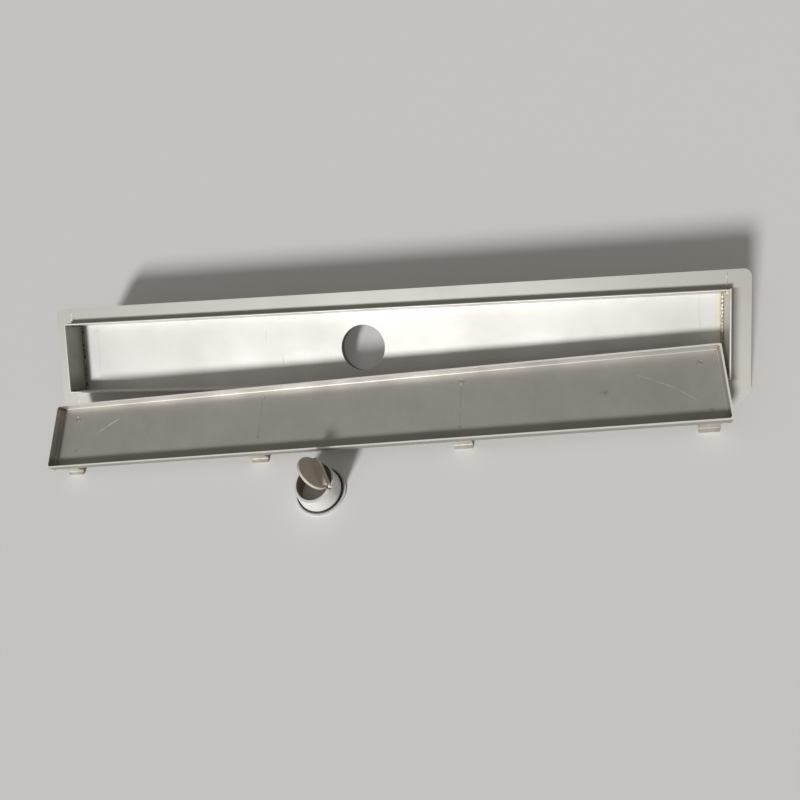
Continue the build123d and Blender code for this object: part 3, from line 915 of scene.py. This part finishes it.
class DRAIN_OT_shared_trees(bpy.types.Operator):
    """Make the node groups and weld metals that the finishes and beads share"""

    bl_idname = "drain.shared_trees"
    bl_label = "Shared node groups"

    def execute(self, context):
        rolled_sheet_group()
        line_mark_group()
        heat_tint_group()
        patches_group()
        moulded_skin_group()
        bead_tree()
        spot_tree()
        for name, looks in WELD_METALS.items():
            weld_metal(name, *looks)
        return {"FINISHED"}


class DRAIN_OT_channel(bpy.types.Operator):
    """Finish the trough, its end caps and its outlet spigot"""

    bl_idname = "drain.channel"
    bl_label = "Channel sheet"

    def execute(self, context):
        settings = context.scene.drain_channel
        axes = channel_axes(settings)
        seam = extent("trough", axes)[1].x
        dress(channel_steel(settings, axes, seam), *CHANNEL_NODES)
        dress(shaded_tube(settings, axes), "outlet_spigot")
        return {"FINISHED"}


class DRAIN_OT_end_welds(bpy.types.Operator):
    """Run a rippled bead along the two sides and the bottom of each end wall"""

    bl_idname = "drain.end_welds"
    bl_label = "End welds"

    def execute(self, context):
        settings = context.scene.drain_channel
        axes = channel_axes(settings)
        ends = (
            ("end_weld_left", settings.left_bead, "sooty_weld_bead"),
            ("end_weld_right", settings.right_bead, "bright_weld_bead"),
        )
        for offset, (name, radius, metal) in enumerate(ends):
            low, high = extent(name, axes)
            sunk = radius * 0.9
            seam = low.x + sunk if low.x < 0 else high.x - sunk
            front, rear, bottom = low.y + sunk, high.y - sunk, low.z + sunk
            top = settings.upstand - settings.end_bead_drop
            run = ((seam, front, top), (seam, front, bottom), (seam, rear, bottom), (seam, rear, top))
            piece = bead_piece(
                f"{name}_bead", (run,), axes, metal,
                radius=radius, ripple=settings.ripple, unevenness=0.35, seed=settings.seed + offset,
            )
            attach(piece, "drain")
            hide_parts(name)
        return {"FINISHED"}


class DRAIN_OT_flange_seams(bpy.types.Operator):
    """Fill the four seams between the long flanges and the end caps with ground beads"""

    bl_idname = "drain.flange_seams"
    bl_label = "Flange seams"

    def execute(self, context):
        settings = context.scene.drain_channel
        axes = channel_axes(settings)
        low, high = extent("trough", axes)
        root = extent("end_weld_left", axes)[1].y + settings.seam_root
        depth = settings.seam_rise - settings.seam_bead
        runs = []
        for seam in (low.x, high.x):
            for edge in (low.y, high.y):
                inner = math.copysign(root, edge)
                outer = edge - math.copysign(settings.seam_bead * 1.2, edge)
                runs.append(((seam, inner, depth), (seam, outer, depth)))
        piece = bead_piece(
            "flange_seam_beads", runs, axes, "ground_seam_weld",
            radius=settings.seam_bead, ripple=settings.ripple * 0.6, unevenness=0.25, seed=settings.seed + 7,
        )
        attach(piece, "drain")
        return {"FINISHED"}


class DRAIN_OT_outlet_weld(bpy.types.Operator):
    """Run a rippled bead round the spigot's root under the trough"""

    bl_idname = "drain.outlet_weld"
    bl_label = "Outlet weld"

    def execute(self, context):
        settings = context.scene.drain_channel
        axes = channel_axes(settings)
        outlet = named(frame["record"]["mounts"], "outlet_spigot")
        proud = settings.outlet_bead * 0.35
        radius = outlet["dims"]["r_mm"] * MM + proud
        level = extent("outlet_spigot", axes)[1].z - proud
        points = 96
        turns = [math.tau * index / points for index in range(points)]
        ring = [(radius * math.cos(turn), radius * math.sin(turn), level) for turn in turns]
        piece = bead_piece(
            "outlet_weld_bead", (ring,), axes, "sooty_weld_bead", radius=settings.outlet_bead,
            ripple=settings.ripple * 0.8, unevenness=0.3, seed=settings.seed + 3, closed=True,
        )
        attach(piece, "drain")
        return {"FINISHED"}


class DRAIN_OT_cover(bpy.types.Operator):
    """Finish the tile tray, its corner welds and its brackets"""

    bl_idname = "drain.cover"
    bl_label = "Tile tray"

    def execute(self, context):
        settings = context.scene.drain_cover
        axes = cover_axes()
        dress(tray_steel(settings, axes), "cover_tray", "cover_corner_welds")
        dress(bracket_steel(settings, axes), *BRACKET_NODES)
        return {"FINISHED"}


class DRAIN_OT_corner_beads(bpy.types.Operator):
    """Run a bead up the inside of each of the tray's corners"""

    bl_idname = "drain.corner_beads"
    bl_label = "Corner beads"

    def execute(self, context):
        settings = context.scene.drain_cover
        axes = cover_axes()
        low, high = extent("cover_tray", axes)
        inset = settings.sheet + settings.corner_bead * 0.4
        bottom = settings.sheet
        top = settings.height - settings.corner_bead
        runs = []
        for x in (low.x + inset, high.x - inset):
            for y in (low.y + inset, high.y - inset):
                runs.append(((x, y, bottom), (x, y, top)))
        piece = bead_piece(
            "tray_corner_beads", runs, axes, "sooty_weld_bead",
            radius=settings.corner_bead, ripple=settings.corner_ripple, unevenness=0.4, seed=settings.seed,
        )
        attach(piece, "drain")
        return {"FINISHED"}


class DRAIN_OT_spot_welds(bpy.types.Operator):
    """Set the spot welds that hold the brackets on the tray's floor"""

    bl_idname = "drain.spot_welds"
    bl_label = "Spot welds"

    def execute(self, context):
        settings = context.scene.drain_cover
        axes = cover_axes()
        rows = (
            ("rear_spot_welds", SPOT_REAR, settings.rear_spot),
            ("front_spot_welds", SPOT_FRONT, settings.front_spot),
        )
        for seed, (name, places, radius) in enumerate(rows):
            points = [[on_face(place, settings.sheet)] for place in places]
            values = {
                "Radius": radius,
                "Rise": settings.spot_rise,
                "Turn": tuple(axes.to_euler()),
                "Seed": seed,
                "Material": bpy.data.materials["spot_weld_mark"],
            }
            piece = piece_from(name, "Spot weld", path_mesh(f"{name}_points", points, axes), values)
            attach(piece, "drain")
        return {"FINISHED"}


class DRAIN_OT_trap(bpy.types.Operator):
    """Finish the trap's body, flap, seal ring and hinge pin"""

    bl_idname = "drain.trap"
    bl_label = "Flap trap"

    def execute(self, context):
        settings = context.scene.drain_trap
        axes = hinge_axes()
        body = moulded_plastic(
            "moulded_trap_body", settings.body, settings.body_shade, gloss=0.34, hollow_shade=(settings, axes)
        )
        dress(body, "trap_body")
        # The flap's colour is painted shade and a warm reflection
        dress(moulded_plastic("shaded_trap_flap", settings.flap, settings.flap_shade, gloss=0.28), "flap")
        dress(seal_rubber(settings), "trap_seal")
        dress(pin_steel(settings, axes), "hinge_pin")
        return {"FINISHED"}


class DRAIN_OT_stage(bpy.types.Operator):
    """Lay the floor, hang the lamp, set the surrounding light and place the camera"""

    bl_idname = "drain.stage"
    bl_label = "Stage"

    def execute(self, context):
        settings = context.scene.drain_stage
        scene = context.scene
        half = settings.floor_size / 2
        mesh = bpy.data.meshes.new("floor")
        mesh.from_pydata([(-half, -half, 0), (half, -half, 0), (half, half, 0), (-half, half, 0)], [], [(0, 1, 2, 3)])
        mesh.materials.append(floor_finish(settings))
        floor = bpy.data.objects.new("floor", mesh)
        scene.collection.objects.link(floor)

        lamp = bpy.data.lights.new("key", "SUN")
        lamp.angle = settings.key_spread
        lamp.energy = settings.key_strength
        key = bpy.data.objects.new("key", lamp)
        key.location = Vector(settings.key_aim) * settings.floor_size / 4
        key.rotation_euler = Vector(settings.key_aim).to_track_quat("Z", "Y").to_euler()
        scene.collection.objects.link(key)

        world = bpy.data.worlds.new("soft_studio")
        world.use_nodes = True
        sky = put("ShaderNodeTexCoord", tree=world.node_tree)["Generated"]
        depth = split(sky)[1]
        light = mixed(fade(depth, start=0.05, end=-0.75), settings.top_light, settings.front_light)
        light = mixed(fade(depth, start=0.05, end=0.8), light, settings.rear_light)
        towards_window = measure("DOT_PRODUCT", sky, Vector(settings.window_aim).normalized())
        pane = fade(towards_window, start=math.cos(settings.window_edge), end=math.cos(settings.window_pane))
        light = mixed(pane, light, Vector(settings.window_light) * settings.window_strength)
        feed(world.node_tree.nodes["Background"].inputs["Color"], light)
        scene.world = world

        lens = bpy.data.cameras.new("camera")
        lens.sensor_width = settings.sensor
        lens.lens = settings.lens
        lens.clip_start = settings.near_limit
        camera = bpy.data.objects.new("camera", lens)
        camera.location = settings.camera_place
        sight = Vector(settings.camera_aim) - Vector(settings.camera_place)
        turn = sight.to_track_quat("-Z", "Y").to_matrix() @ Matrix.Rotation(settings.camera_roll, 3, "Z")
        camera.rotation_euler = turn.to_euler()
        scene.collection.objects.link(camera)
        scene.camera = camera
        scene.view_settings.view_transform = "Standard"
        return {"FINISHED"}


MAKERS = (
    DRAIN_OT_shared_trees,
    DRAIN_OT_channel,
    DRAIN_OT_end_welds,
    DRAIN_OT_flange_seams,
    DRAIN_OT_outlet_weld,
    DRAIN_OT_cover,
    DRAIN_OT_corner_beads,
    DRAIN_OT_spot_welds,
    DRAIN_OT_trap,
    DRAIN_OT_stage,
)

SETTINGS = {
    "drain_channel": ChannelSettings,
    "drain_cover": CoverSettings,
    "drain_trap": TrapSettings,
    "drain_stage": StageSettings,
}


class DRAIN_PT_sidebar(bpy.types.Panel):
    """Lists the drain's operators and settings"""

    bl_idname = "DRAIN_PT_sidebar"
    bl_label = "Linear shower drain"
    bl_space_type = "VIEW_3D"
    bl_region_type = "UI"
    bl_category = "Drain"

    def draw(self, context):
        for maker in MAKERS:
            self.layout.operator(maker.bl_idname)
        for name, group in SETTINGS.items():
            box = self.layout.box()
            for setting in group.__annotations__:
                box.prop(getattr(context.scene, name), setting)


def register():
    for part in (*SETTINGS.values(), *MAKERS, DRAIN_PT_sidebar):
        bpy.utils.register_class(part)
    for name, group in SETTINGS.items():
        setattr(bpy.types.Scene, name, PointerProperty(type=group))


def unregister():
    for name in SETTINGS:
        delattr(bpy.types.Scene, name)
    for part in (DRAIN_PT_sidebar, *reversed(MAKERS), *SETTINGS.values()):
        bpy.utils.unregister_class(part)


def main():
    register()
    bpy.ops.drain.shared_trees()
    bpy.ops.drain.channel()
    bpy.ops.drain.end_welds()
    bpy.ops.drain.flange_seams()
    bpy.ops.drain.outlet_weld()
    bpy.ops.drain.cover()
    bpy.ops.drain.corner_beads()
    bpy.ops.drain.spot_welds()
    bpy.ops.drain.trap()
    bpy.ops.drain.stage()


if __name__ == "__main__":
    main()
